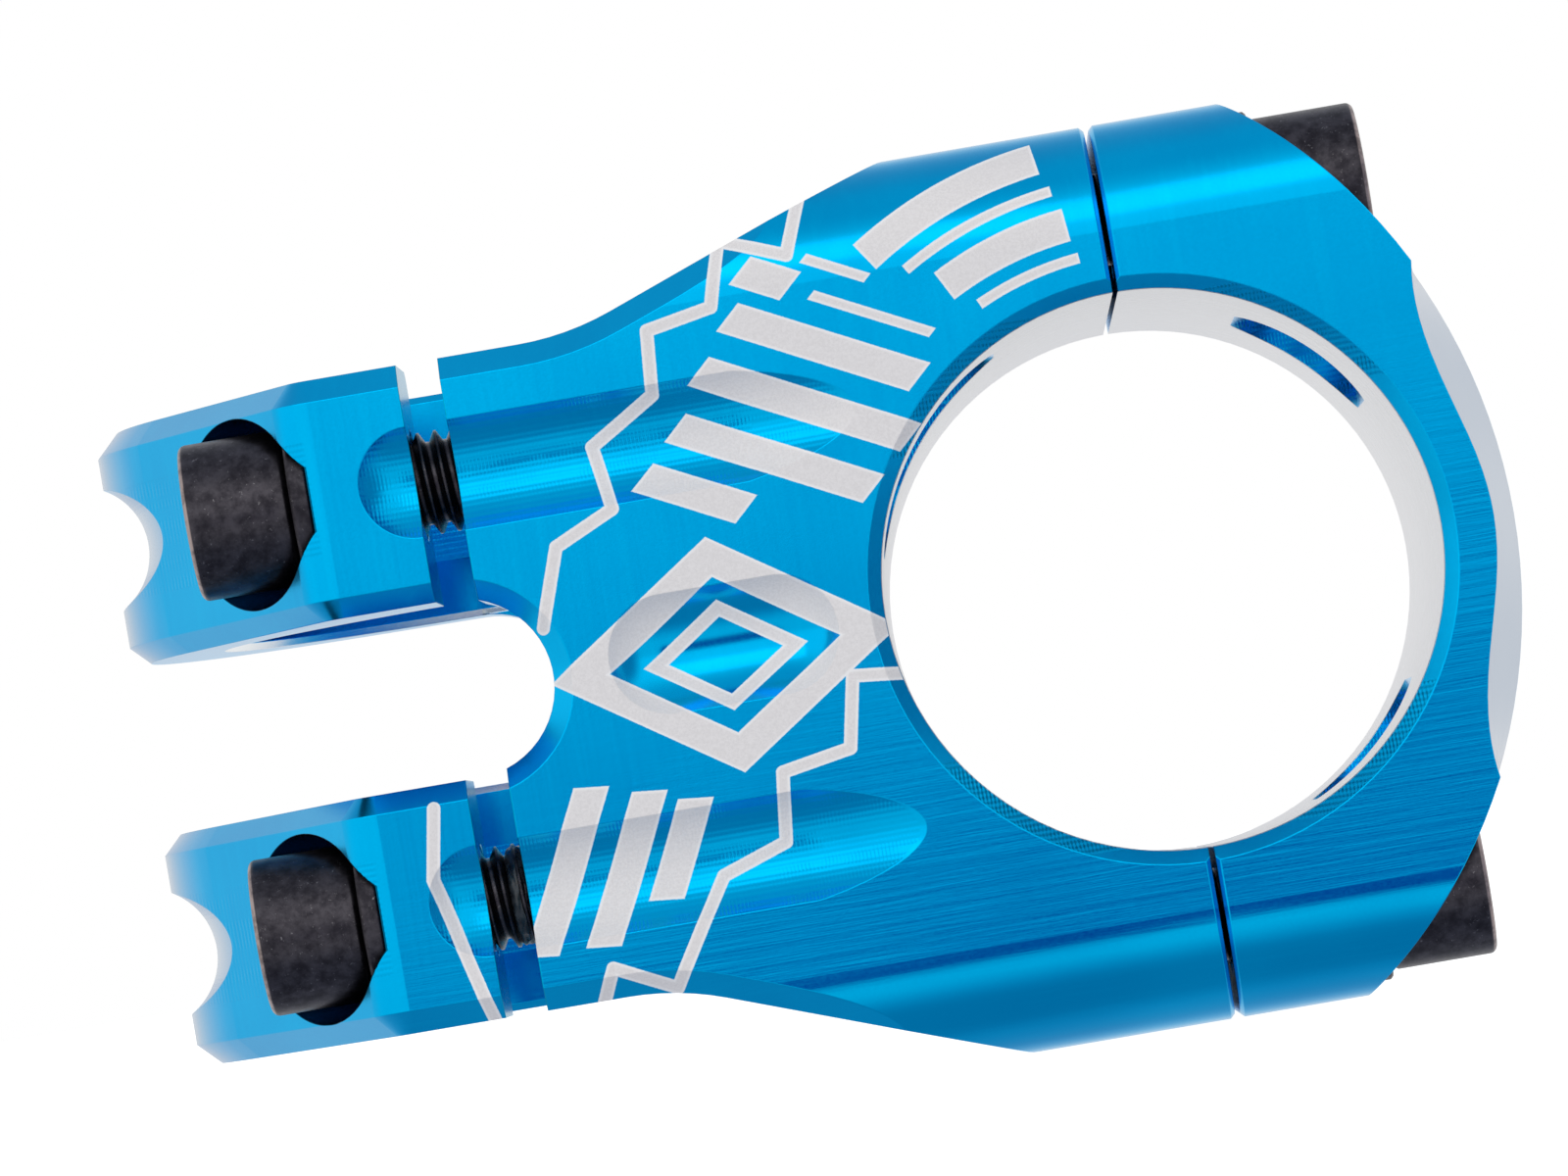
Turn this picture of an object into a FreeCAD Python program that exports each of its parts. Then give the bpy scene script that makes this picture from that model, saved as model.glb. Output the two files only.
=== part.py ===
import FreeCAD, Part
import math
import os

# Handlebar stem: a machined alloy body that clamps a steerer tube, with a four-bolt faceplate that
# clamps the handlebar. Millimetres. The origin is on the steerer axis at half the stem's height.
# +X points forward to the handlebar, +Y to the rider's left, +Z up along the steerer.

# Sizes that the bicycle sets
STEERER_D = 28.6
BAR_D = 31.8
REACH = 40.0

# Overall sizes
WIDTH = 49.0
STEERER_CLAMP_HEIGHT = 37.5
BAR_CLAMP_HEIGHT = 51.6
STEERER_CLAMP_R = 19.8
FACEPLATE_DEPTH = 20.45
PLATE_GAP = 0.3

# Edges of the body
EDGE_CHAMFER = 1.3
WINDOW_CHAMFER = 1.1
BORE_CHAMFER = 0.8
STEERER_BORE_CHAMFER = 0.4
SPLIT_CHAMFER = 0.25
THREAD_CHAMFER = 0.5
BLOCK_CORNER_R = 6.4

# Steerer clamp: a round back whose right side widens to hold the pinch screws and whose left side
# widens to meet the neck. A window splits it into two fingers, slit down the right side. A round
# seat sunk into the foot of each shoulder lets a headset spacer lie flat on the clamp.
ROUND_BACK_R = 19.0
SCREW_BOSS_X = -7.5
SCREW_BOSS_CORNER_R = 2.5
LEFT_FLANK_X = 13.0
LEFT_FLANK_CORNER_R = 12.0
WINDOW_HEIGHT = 10.2
WINDOW_END_X = 5.0
SLIT_BACK_X = -0.9
SLIT_FRONT_X = 1.5
SLIT_INNER_Y = -10.0
SPACER_SEAT_R = 18.5

# Curved groove across the back of each finger
GROOVE_BOTTOM_X = -18.07
GROOVE_BOTTOM_R = 38.5
GROOVE_PROFILE_R = 4.15

# Slanted shoulders that rise from the steerer clamp to the bar clamp
SHOULDER_START_X = 8.94
SHOULDER_END_X = 28.2
SHOULDER_VALLEY_R = 16.0
SHOULDER_CREST_R = 1.5

# Round-bottomed channels milled into both flanks
BALL_R = 4.0
CHANNEL_DEPTH = 1.56
CHANNEL_START_X = -0.93
CHANNEL_LEVEL_END_X = 17.5
CHANNEL_TIP_X = 23.9
CHANNEL_RUN_OUT = 10.0
CAPSULE_DEPTH = 1.9
CAPSULE_START_X = 11.65
CAPSULE_END_X = 18.0

# Weight-saving pockets inside the bar bore, in pairs mirrored top and bottom: middle and half span
# in degrees from +X, and the two ends along Y. The front pair is in the faceplate.
RELIEF_DEPTH = 2.0
RELIEF_CORNER_R = 4.4
RELIEF_SIDE_ROOM = 0.1
RELIEFS = ((47.4, 16.6, -8.5, 8.5), (142.0, 25.0, -16.5, -5.0))

# Faceplate, measured forward from the bar axis
PLATE_TOP_DEPTH = 7.55
PLATE_NOSE_DEPTH = 16.95
PLATE_NOSE_Z = 14.8
PLATE_BROW_BULGE = 0.8
BEVEL_START_Y = 17.0
BEVEL_CREST_DEPTH = 18.9
BEVEL_TROUGH_DEPTH = 16.6
BEVEL_TROUGH_Z = 12.7
BEVEL_STEPS = 8

# M6 x 20 socket screws and their washers
THREAD_R = 3.0
SCREW_R = 2.95
CLEARANCE_R = 3.25
SCREW_LENGTH = 20.0
HEAD_R = 4.5
HEAD_LENGTH = 6.1
HEAD_EDGE = 0.4
TIP_CHAMFER = 0.6
SOCKET_FLATS = 5.0
SOCKET_DEPTH = 3.2
WASHER_R = 5.0
WASHER_BORE_R = 3.1
WASHER_T = 1.15
WASHER_EDGE = 0.15
DRILL_POINT = 1.5

# Where the screws sit
BAR_SCREW_Y = 18.5
BAR_SCREW_Z = 20.1
BAR_POCKET_R = 5.2
BAR_POCKET_DEPTH = 7.95
BAR_THREAD_DEPTH = 13.0
STEERER_SCREW_Y = -19.2
STEERER_SCREW_Z = 12.0
STEERER_POCKET_R = 5.5
STEERER_POCKET_X = -6.9
STEERER_THREAD_DEPTH = 12.0

# Sizes that follow from the ones above
HALF_WIDTH = WIDTH / 2
CLAMP_TOP = STEERER_CLAMP_HEIGHT / 2
BLOCK_TOP = BAR_CLAMP_HEIGHT / 2
STEERER_R = STEERER_D / 2
BAR_R = BAR_D / 2
WINDOW_TOP = WINDOW_HEIGHT / 2
BODY_FACE_X = REACH - PLATE_GAP / 2
PLATE_FACE_X = REACH + PLATE_GAP / 2
FAR = 60.0
TOLERANCE = 0.01

X_AXIS = FreeCAD.Vector(1, 0, 0)
Y_AXIS = FreeCAD.Vector(0, 1, 0)
Z_AXIS = FreeCAD.Vector(0, 0, 1)


def on_side(u, v):
    """A point of a side outline: u forward, v up, on the plane y = 0."""
    return FreeCAD.Vector(u, 0, v)


def on_plan(u, v):
    """A point of a plan outline: u forward, v to the left, on the plane z = 0."""
    return FreeCAD.Vector(u, v, 0)


def on_end(u, v):
    """A point of an end outline: u to the left, v up, on the plane x = 0."""
    return FreeCAD.Vector(0, u, v)


def rounded_wire(corners, place):
    """A closed wire through corners (u, v, radius), each rounded by an arc tangent to its sides."""
    arcs = []
    for index, (u, v, radius) in enumerate(corners):
        here = FreeCAD.Vector(u, v, 0)
        before = FreeCAD.Vector(*corners[index - 1][:2], 0)
        after = FreeCAD.Vector(*corners[(index + 1) % len(corners)][:2], 0)
        back = (before - here).normalize()
        ahead = (after - here).normalize()
        half_angle = back.getAngle(ahead) / 2
        run = radius / math.tan(half_angle)
        sag = radius / math.sin(half_angle) - radius
        middle = here + (back + ahead).normalize() * sag
        ends = (here + back * run, middle, here + ahead * run)
        arcs.append([place(point.x, point.y) for point in ends])
    edges = []
    for index, (start, middle, end) in enumerate(arcs):
        if corners[index][2] > 0:
            edges.append(Part.Arc(start, middle, end).toShape())
        following = arcs[(index + 1) % len(arcs)][0]
        edges.append(Part.LineSegment(end, following).toShape())
    return Part.Wire(edges)


def slab(wire, direction, low, high):
    """A wire's face, pushed along a direction from low to high."""
    face = Part.Face(wire)
    face.translate(direction * low)
    return face.extrude(direction * (high - low))


def box(x0, x1, y0, y1, z0, z1):
    return Part.makeBox(x1 - x0, y1 - y0, z1 - z0, FreeCAD.Vector(x0, y0, z0))


def rod(radius, start, direction, length):
    return Part.makeCylinder(radius, length, start, direction)


def cone(start_radius, end_radius, start, direction, length):
    return Part.makeCone(start_radius, end_radius, length, start, direction)


def union(shapes):
    return shapes[0].fuse(shapes[1:]) if len(shapes) > 1 else shapes[0]


def rounded_block(split_x, end_x):
    """The bar clamp's outside: a bar along X with rounded long corners and a chamfered split end."""
    corners = [
        (side * HALF_WIDTH, level * BLOCK_TOP, BLOCK_CORNER_R)
        for side, level in ((-1, -1), (1, -1), (1, 1), (-1, 1))
    ]
    low, high = sorted((split_x, end_x))
    block = slab(rounded_wire(corners, on_end), X_AXIS, low, high)
    edges = [edge for edge in block.Edges if abs(edge.CenterOfMass.x - split_x) < TOLERANCE]
    return block.makeChamfer(SPLIT_CHAMFER, edges)


def relief_pocket(angle, half_span, low_y, high_y):
    """A shallow round-bottomed pocket with rounded corners in the wall of the bar bore."""
    half_chord = BAR_R * math.sin(half_span)
    sagitta = BAR_R + RELIEF_DEPTH - BAR_R * math.cos(half_span)
    cutter_r = (half_chord**2 + sagitta**2) / (2 * sagitta)
    distance = BAR_R + RELIEF_DEPTH - cutter_r
    bottom = rod(cutter_r, FreeCAD.Vector(REACH + distance, low_y, 0), Y_AXIS, high_y - low_y)
    side = half_chord + RELIEF_SIDE_ROOM
    corners = [
        (y, z, RELIEF_CORNER_R) for y, z in ((low_y, -side), (high_y, -side), (high_y, side), (low_y, side))
    ]
    outline = slab(rounded_wire(corners, on_end), X_AXIS, REACH, REACH + FAR)
    pocket = bottom.common(outline)
    pocket.rotate(FreeCAD.Vector(REACH, 0, 0), Y_AXIS, -math.degrees(angle))
    return pocket


def bar_bore():
    """The handlebar's bore with its two chamfered mouths and its relief pockets, as one cutter."""
    bore = rod(BAR_R, FreeCAD.Vector(REACH, -FAR, 0), Y_AXIS, 2 * FAR)
    cutters = [bore]
    for side in (-1, 1):
        mouth = FreeCAD.Vector(REACH, side * HALF_WIDTH, 0)
        inward = Y_AXIS * -side
        cutters.append(cone(BAR_R + BORE_CHAMFER, BAR_R, mouth, inward, BORE_CHAMFER))
    for middle_deg, half_span_deg, low_y, high_y in RELIEFS:
        for level in (-1, 1):
            middle = math.radians(middle_deg) * level
            cutters.append(relief_pocket(middle, math.radians(half_span_deg), low_y, high_y))
    return union(cutters)


def tangent_angle(x, y, turn):
    """The direction, from +X, in which a line from the point (x, y) touches the clamp's circle."""
    return math.atan2(y, x) + turn * math.acos(STEERER_CLAMP_R / math.hypot(x, y))


def plan_prism():
    """The body seen from above: parallel flanks that run tangent into the round back."""
    right = tangent_angle(SCREW_BOSS_X, -HALF_WIDTH, -1)
    left = tangent_angle(LEFT_FLANK_X, HALF_WIDTH, 1)
    # The two tangents meet behind the clamp, and the round back is the arc that joins them.
    distance = STEERER_CLAMP_R / math.cos((right + 2 * math.pi - left) / 2)
    meeting = (right + 2 * math.pi + left) / 2
    corners = [
        (BODY_FACE_X, -HALF_WIDTH, 0),
        (SCREW_BOSS_X, -HALF_WIDTH, SCREW_BOSS_CORNER_R),
        (distance * math.cos(meeting), distance * math.sin(meeting), ROUND_BACK_R),
        (LEFT_FLANK_X, HALF_WIDTH, LEFT_FLANK_CORNER_R),
        (BODY_FACE_X, HALF_WIDTH, 0),
    ]
    return slab(rounded_wire(corners, on_plan), Z_AXIS, -FAR, FAR)


def side_prism():
    """The body seen from the side: shoulders rise from the steerer clamp to the bar clamp."""
    corners = [
        (-FAR, -CLAMP_TOP, 0),
        (SHOULDER_START_X, -CLAMP_TOP, SHOULDER_VALLEY_R),
        (SHOULDER_END_X, -BLOCK_TOP, SHOULDER_CREST_R),
        (BODY_FACE_X, -BLOCK_TOP, 0),
        (BODY_FACE_X, BLOCK_TOP, 0),
        (SHOULDER_END_X, BLOCK_TOP, SHOULDER_CREST_R),
        (SHOULDER_START_X, CLAMP_TOP, SHOULDER_VALLEY_R),
        (-FAR, CLAMP_TOP, 0),
    ]
    return slab(rounded_wire(corners, on_side), Y_AXIS, -FAR, FAR)


def body_block():
    """The body's outside: both outlines, with every edge between them chamfered."""
    block = plan_prism().common(side_prism())
    edges = [edge for edge in block.Edges if edge.BoundBox.XLength > TOLERANCE]
    chamfered = block.makeChamfer(EDGE_CHAMFER, edges)
    return chamfered.common(rounded_block(BODY_FACE_X, -FAR))


def cut_window(block):
    """Opens the window between the fingers, right through, and breaks its outer edges."""
    round_x = WINDOW_END_X - WINDOW_TOP
    opening = box(-FAR, round_x, -FAR, FAR, -WINDOW_TOP, WINDOW_TOP)
    round_end = rod(WINDOW_TOP, FreeCAD.Vector(round_x, -FAR, 0), Y_AXIS, 2 * FAR)
    opened = block.cut(opening.fuse(round_end).removeSplitter())
    edges = []
    for edge in opened.Edges:
        beside_window = abs(edge.CenterOfMass.z) < WINDOW_TOP + TOLERANCE
        if beside_window and edge.BoundBox.XLength > TOLERANCE:
            edges.append(edge)
    return opened.makeChamfer(WINDOW_CHAMFER, edges)


def steerer_bore():
    """The steerer's bore, with a small chamfer at both faces of each finger, as one cutter."""
    bore = rod(STEERER_R, FreeCAD.Vector(0, 0, -FAR), Z_AXIS, 2 * FAR)
    wide = STEERER_R + STEERER_BORE_CHAMFER
    cutters = [bore]
    for face_z, inward in ((CLAMP_TOP, -1), (WINDOW_TOP, 1), (-WINDOW_TOP, -1), (-CLAMP_TOP, 1)):
        start = FreeCAD.Vector(0, 0, face_z)
        cutters.append(cone(wide, STEERER_R, start, Z_AXIS * inward, STEERER_BORE_CHAMFER))
    return union(cutters)


def spacer_seat(level):
    """Clears the space above or below the steerer clamp where a spacer or the headset sits."""
    return rod(SPACER_SEAT_R, FreeCAD.Vector(0, 0, level * CLAMP_TOP), Z_AXIS * level, FAR)


def finger_groove(z):
    """The ring-shaped cutter that leaves the curved groove across the back of one finger."""
    ring_r = GROOVE_BOTTOM_R + GROOVE_PROFILE_R
    centre = FreeCAD.Vector(GROOVE_BOTTOM_X + GROOVE_BOTTOM_R, 0, z)
    return Part.makeTorus(ring_r, GROOVE_PROFILE_R, centre, Z_AXIS)


def side_channel(side, z):
    """A ball-nosed channel along one flank that ramps out to a point at its front end."""
    y = side * (HALF_WIDTH + BALL_R - CHANNEL_DEPTH)
    start = FreeCAD.Vector(CHANNEL_START_X, y, z)
    knee = FreeCAD.Vector(CHANNEL_LEVEL_END_X, y, z)
    slope = CHANNEL_DEPTH / (CHANNEL_TIP_X - CHANNEL_LEVEL_END_X)
    ramp = FreeCAD.Vector(1, side * slope, 0).normalize()
    return union([
        Part.makeSphere(BALL_R, start),
        rod(BALL_R, start, X_AXIS, knee.x - start.x),
        Part.makeSphere(BALL_R, knee),
        rod(BALL_R, knee, ramp, CHANNEL_RUN_OUT),
    ])


def side_capsule(side):
    """The short round-ended hollow in the middle of one flank."""
    y = side * (HALF_WIDTH + BALL_R - CAPSULE_DEPTH)
    start = FreeCAD.Vector(CAPSULE_START_X, y, 0)
    end = FreeCAD.Vector(CAPSULE_END_X, y, 0)
    return union([
        Part.makeSphere(BALL_R, start),
        rod(BALL_R, start, X_AXIS, end.x - start.x),
        Part.makeSphere(BALL_R, end),
    ])


def tapped_hole(mouth, direction, depth):
    """A blind tapped hole with a countersunk mouth and a drill point."""
    wide = THREAD_R + THREAD_CHAMFER
    bottom = mouth + direction * depth
    return union([
        rod(THREAD_R, mouth, direction, depth),
        cone(wide, THREAD_R, mouth, direction, THREAD_CHAMFER),
        cone(THREAD_R, 0, bottom, direction, DRILL_POINT),
    ])


def bar_screw_axes():
    """Side and level, -1 or 1, of each of the four faceplate screws."""
    return [(side, level) for level in (1, -1) for side in (-1, 1)]


def stem_body():
    block = cut_window(body_block())
    cutters = [steerer_bore(), bar_bore()]
    cutters.append(box(SLIT_BACK_X, SLIT_FRONT_X, -FAR, SLIT_INNER_Y, -FAR, FAR))
    for side in (-1, 1):
        cutters.append(side_capsule(side))
        for level in (-1, 1):
            cutters.append(side_channel(side, level * STEERER_SCREW_Z))
    for level in (-1, 1):
        z = level * STEERER_SCREW_Z
        floor = FreeCAD.Vector(STEERER_POCKET_X, STEERER_SCREW_Y, z)
        cutters.append(spacer_seat(level))
        cutters.append(finger_groove(z))
        cutters.append(rod(STEERER_POCKET_R, floor, X_AXIS * -1, FAR))
        cutters.append(rod(CLEARANCE_R, floor, X_AXIS, SLIT_BACK_X - STEERER_POCKET_X + 1))
        mouth = FreeCAD.Vector(SLIT_FRONT_X, STEERER_SCREW_Y, z)
        cutters.append(tapped_hole(mouth, X_AXIS, STEERER_THREAD_DEPTH))
    for side, level in bar_screw_axes():
        mouth = FreeCAD.Vector(BODY_FACE_X, side * BAR_SCREW_Y, level * BAR_SCREW_Z)
        cutters.append(tapped_hole(mouth, X_AXIS * -1, BAR_THREAD_DEPTH))
    for cutter in cutters:
        block = block.cut(cutter)
    return block


def bevel_curve(y):
    """The faceplate's front edge on its flank: a wave that swells forward at the middle."""
    points = []
    half_wave = (BEVEL_CREST_DEPTH - BEVEL_TROUGH_DEPTH) / 2
    for step in range(BEVEL_STEPS + 1):
        z = PLATE_NOSE_Z * (1 - 2 * step / BEVEL_STEPS)
        depth = BEVEL_TROUGH_DEPTH + half_wave * (1 + math.cos(math.pi * z / BEVEL_TROUGH_Z))
        points.append(FreeCAD.Vector(REACH + depth, y, z))
    curve = Part.BSplineCurve()
    curve.interpolate(points)
    return curve.toShape()


def brow(top, nose):
    """The slightly bulged slope between the faceplate's top or bottom and its nose."""
    chord = nose - top
    outward = FreeCAD.Vector(abs(chord.z), 0, math.copysign(chord.x, top.z)).normalize()
    return Part.Arc(top, (top + nose) / 2 + outward * PLATE_BROW_BULGE, nose).toShape()


def plate_wire(y, front):
    """The faceplate's outline at one distance from the middle, with the front edge it has there."""
    top_x = REACH + PLATE_TOP_DEPTH
    points = [
        FreeCAD.Vector(top_x, y, -BLOCK_TOP),
        FreeCAD.Vector(PLATE_FACE_X, y, -BLOCK_TOP),
        FreeCAD.Vector(PLATE_FACE_X, y, BLOCK_TOP),
        FreeCAD.Vector(top_x, y, BLOCK_TOP),
    ]
    sides = [Part.LineSegment(a, b).toShape() for a, b in zip(points, points[1:])]
    lower_brow = brow(points[0], front.Vertexes[-1].Point)
    upper_brow = brow(points[-1], front.Vertexes[0].Point)
    return Part.Wire([front, lower_brow, *sides, upper_brow])


def nose_arc(y):
    """The faceplate's full front edge, one arc."""
    nose_x = REACH + PLATE_NOSE_DEPTH
    return Part.Arc(
        FreeCAD.Vector(nose_x, y, PLATE_NOSE_Z),
        FreeCAD.Vector(REACH + FACEPLATE_DEPTH, y, 0),
        FreeCAD.Vector(nose_x, y, -PLATE_NOSE_Z),
    ).toShape()


def faceplate():
    middle = Part.Face(plate_wire(-BEVEL_START_Y, nose_arc(-BEVEL_START_Y)))
    pieces = [middle.extrude(Y_AXIS * 2 * BEVEL_START_Y)]
    for side in (-1, 1):
        inner_y = side * BEVEL_START_Y
        outer_y = side * HALF_WIDTH
        inner = plate_wire(inner_y, nose_arc(inner_y))
        outer = plate_wire(outer_y, bevel_curve(outer_y))
        pieces.append(Part.makeLoft([inner, outer], True, True))
    block = union(pieces).common(rounded_block(PLATE_FACE_X, REACH + FAR))
    cutters = [bar_bore()]
    for side, level in bar_screw_axes():
        back = FreeCAD.Vector(PLATE_FACE_X - 1, side * BAR_SCREW_Y, level * BAR_SCREW_Z)
        floor = FreeCAD.Vector(REACH + BAR_POCKET_DEPTH, back.y, back.z)
        cutters.append(rod(CLEARANCE_R, back, X_AXIS, FAR))
        cutters.append(rod(BAR_POCKET_R, floor, X_AXIS, FAR))
    for cutter in cutters:
        block = block.cut(cutter)
    return block


def turned(outline, place_at, direction):
    """A round piece: (distance along the axis, radius) corners turned about the axis at a place."""
    corners = [FreeCAD.Vector(radius, 0, along) for along, radius in outline]
    face = Part.Face(Part.makePolygon([*corners, corners[0]]))
    piece = face.revolve(FreeCAD.Vector(0, 0, 0), Z_AXIS, 360)
    rotation = FreeCAD.Rotation(Z_AXIS, direction)
    piece.Placement = FreeCAD.Placement(place_at, rotation)
    return piece


def screw(under_head, outward):
    """A socket screw: its head's underside is at under_head and its head points outward."""
    outline = [
        (-SCREW_LENGTH, 0),
        (-SCREW_LENGTH, SCREW_R - TIP_CHAMFER),
        (-SCREW_LENGTH + TIP_CHAMFER, SCREW_R),
        (0, SCREW_R),
        (0, HEAD_R),
        (HEAD_LENGTH - HEAD_EDGE, HEAD_R),
        (HEAD_LENGTH, HEAD_R - HEAD_EDGE),
        (HEAD_LENGTH, 0),
    ]
    blank = turned(outline, under_head, outward)
    across_corners = SOCKET_FLATS / math.cos(math.pi / 6)
    points = []
    for corner in range(6):
        angle = math.radians(60 * corner)
        y = across_corners / 2 * math.cos(angle)
        z = across_corners / 2 * math.sin(angle)
        points.append(FreeCAD.Vector(0, y, z))
    socket = Part.Face(Part.makePolygon([*points, points[0]])).extrude(outward * SOCKET_DEPTH)
    socket.translate(under_head + outward * (HEAD_LENGTH - SOCKET_DEPTH))
    return blank.cut(socket)


def washer(seat, outward):
    """A flat washer that stands on seat, with its edges broken."""
    outline = [
        (0, WASHER_BORE_R),
        (0, WASHER_R - WASHER_EDGE),
        (WASHER_EDGE, WASHER_R),
        (WASHER_T - WASHER_EDGE, WASHER_R),
        (WASHER_T, WASHER_R - WASHER_EDGE),
        (WASHER_T, WASHER_BORE_R),
    ]
    return turned(outline, seat, outward)


def write(name, shape):
    solids = shape.Solids
    if len(solids) != 1 or not shape.isValid():
        raise ValueError(f"{name}: {len(solids)} solids, valid {shape.isValid()}")
    solids[0].exportStep(f"parts/{name}.step")
    print(f"{name}: {shape.Volume:.0f} mm3")


os.makedirs("parts", exist_ok=True)
write("stem_body", stem_body())
write("faceplate", faceplate())
SIDES = {-1: "right", 1: "left"}
LEVELS = {-1: "lower", 1: "upper"}
for side, level in bar_screw_axes():
    place = f"{LEVELS[level]}_{SIDES[side]}"
    seat = FreeCAD.Vector(REACH + BAR_POCKET_DEPTH, side * BAR_SCREW_Y, level * BAR_SCREW_Z)
    write(f"faceplate_washer_{place}", washer(seat, X_AXIS))
    write(f"faceplate_bolt_{place}", screw(seat + X_AXIS * WASHER_T, X_AXIS))
for level in (1, -1):
    seat = FreeCAD.Vector(STEERER_POCKET_X, STEERER_SCREW_Y, level * STEERER_SCREW_Z)
    backward = X_AXIS * -1
    write(f"steerer_washer_{LEVELS[level]}", washer(seat, backward))
    write(f"steerer_bolt_{LEVELS[level]}", screw(seat + backward * WASHER_T, backward))
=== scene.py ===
import math
from types import SimpleNamespace

import bmesh
import bpy
from mathutils import Matrix, Vector, noise


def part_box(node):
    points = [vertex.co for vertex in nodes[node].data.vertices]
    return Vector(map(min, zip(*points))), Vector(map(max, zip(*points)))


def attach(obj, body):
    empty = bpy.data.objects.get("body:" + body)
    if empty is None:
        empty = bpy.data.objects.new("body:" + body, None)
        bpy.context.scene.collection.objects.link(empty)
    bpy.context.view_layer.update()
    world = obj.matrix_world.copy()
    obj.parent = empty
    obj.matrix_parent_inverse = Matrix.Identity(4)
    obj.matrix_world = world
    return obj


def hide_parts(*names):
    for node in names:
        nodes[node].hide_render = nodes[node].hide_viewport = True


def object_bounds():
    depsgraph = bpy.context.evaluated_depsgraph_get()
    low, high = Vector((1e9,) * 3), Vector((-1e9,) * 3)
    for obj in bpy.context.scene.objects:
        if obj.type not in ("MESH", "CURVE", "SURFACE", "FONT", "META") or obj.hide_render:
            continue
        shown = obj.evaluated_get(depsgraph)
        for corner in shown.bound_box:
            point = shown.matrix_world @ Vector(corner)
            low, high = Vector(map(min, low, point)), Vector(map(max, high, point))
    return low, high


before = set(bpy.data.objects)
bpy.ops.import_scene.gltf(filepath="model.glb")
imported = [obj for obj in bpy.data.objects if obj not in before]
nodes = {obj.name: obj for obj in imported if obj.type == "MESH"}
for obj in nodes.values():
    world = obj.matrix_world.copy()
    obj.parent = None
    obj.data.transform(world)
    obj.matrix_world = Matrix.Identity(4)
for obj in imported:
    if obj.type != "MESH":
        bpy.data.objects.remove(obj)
cad_low, cad_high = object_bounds()
MM = 0.001

# Where things are, in millimetres in the part's frame: +X is forward, and the right flank faces -Y
REACH = 40.0
BAR_R = 15.9
HALF_WIDTH = 24.5
CHANNEL_Z = 12.0
CHANNEL_HALF = 3.25
SCREW_Y = 19.2
POCKET_R = 5.53
POCKET_FLOOR_X = -6.8
SLIT_X = 0.3
SLIT_HALF = 1.24
SLIT_INNER_Y = -9.9
STEERER_EDGE_R = 14.53
STEERER_EDGE_Z = 5.3
STEERER_WALL_R = 14.8
ROUND_BACK_X = -6.5
FRONT_BEVEL_X = 52.0
FRONT_BEVEL_Y = 17.02
ETCHED_FLANK_Y = -20.0


# ---------------------------------------------------------------- node graphs

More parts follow.
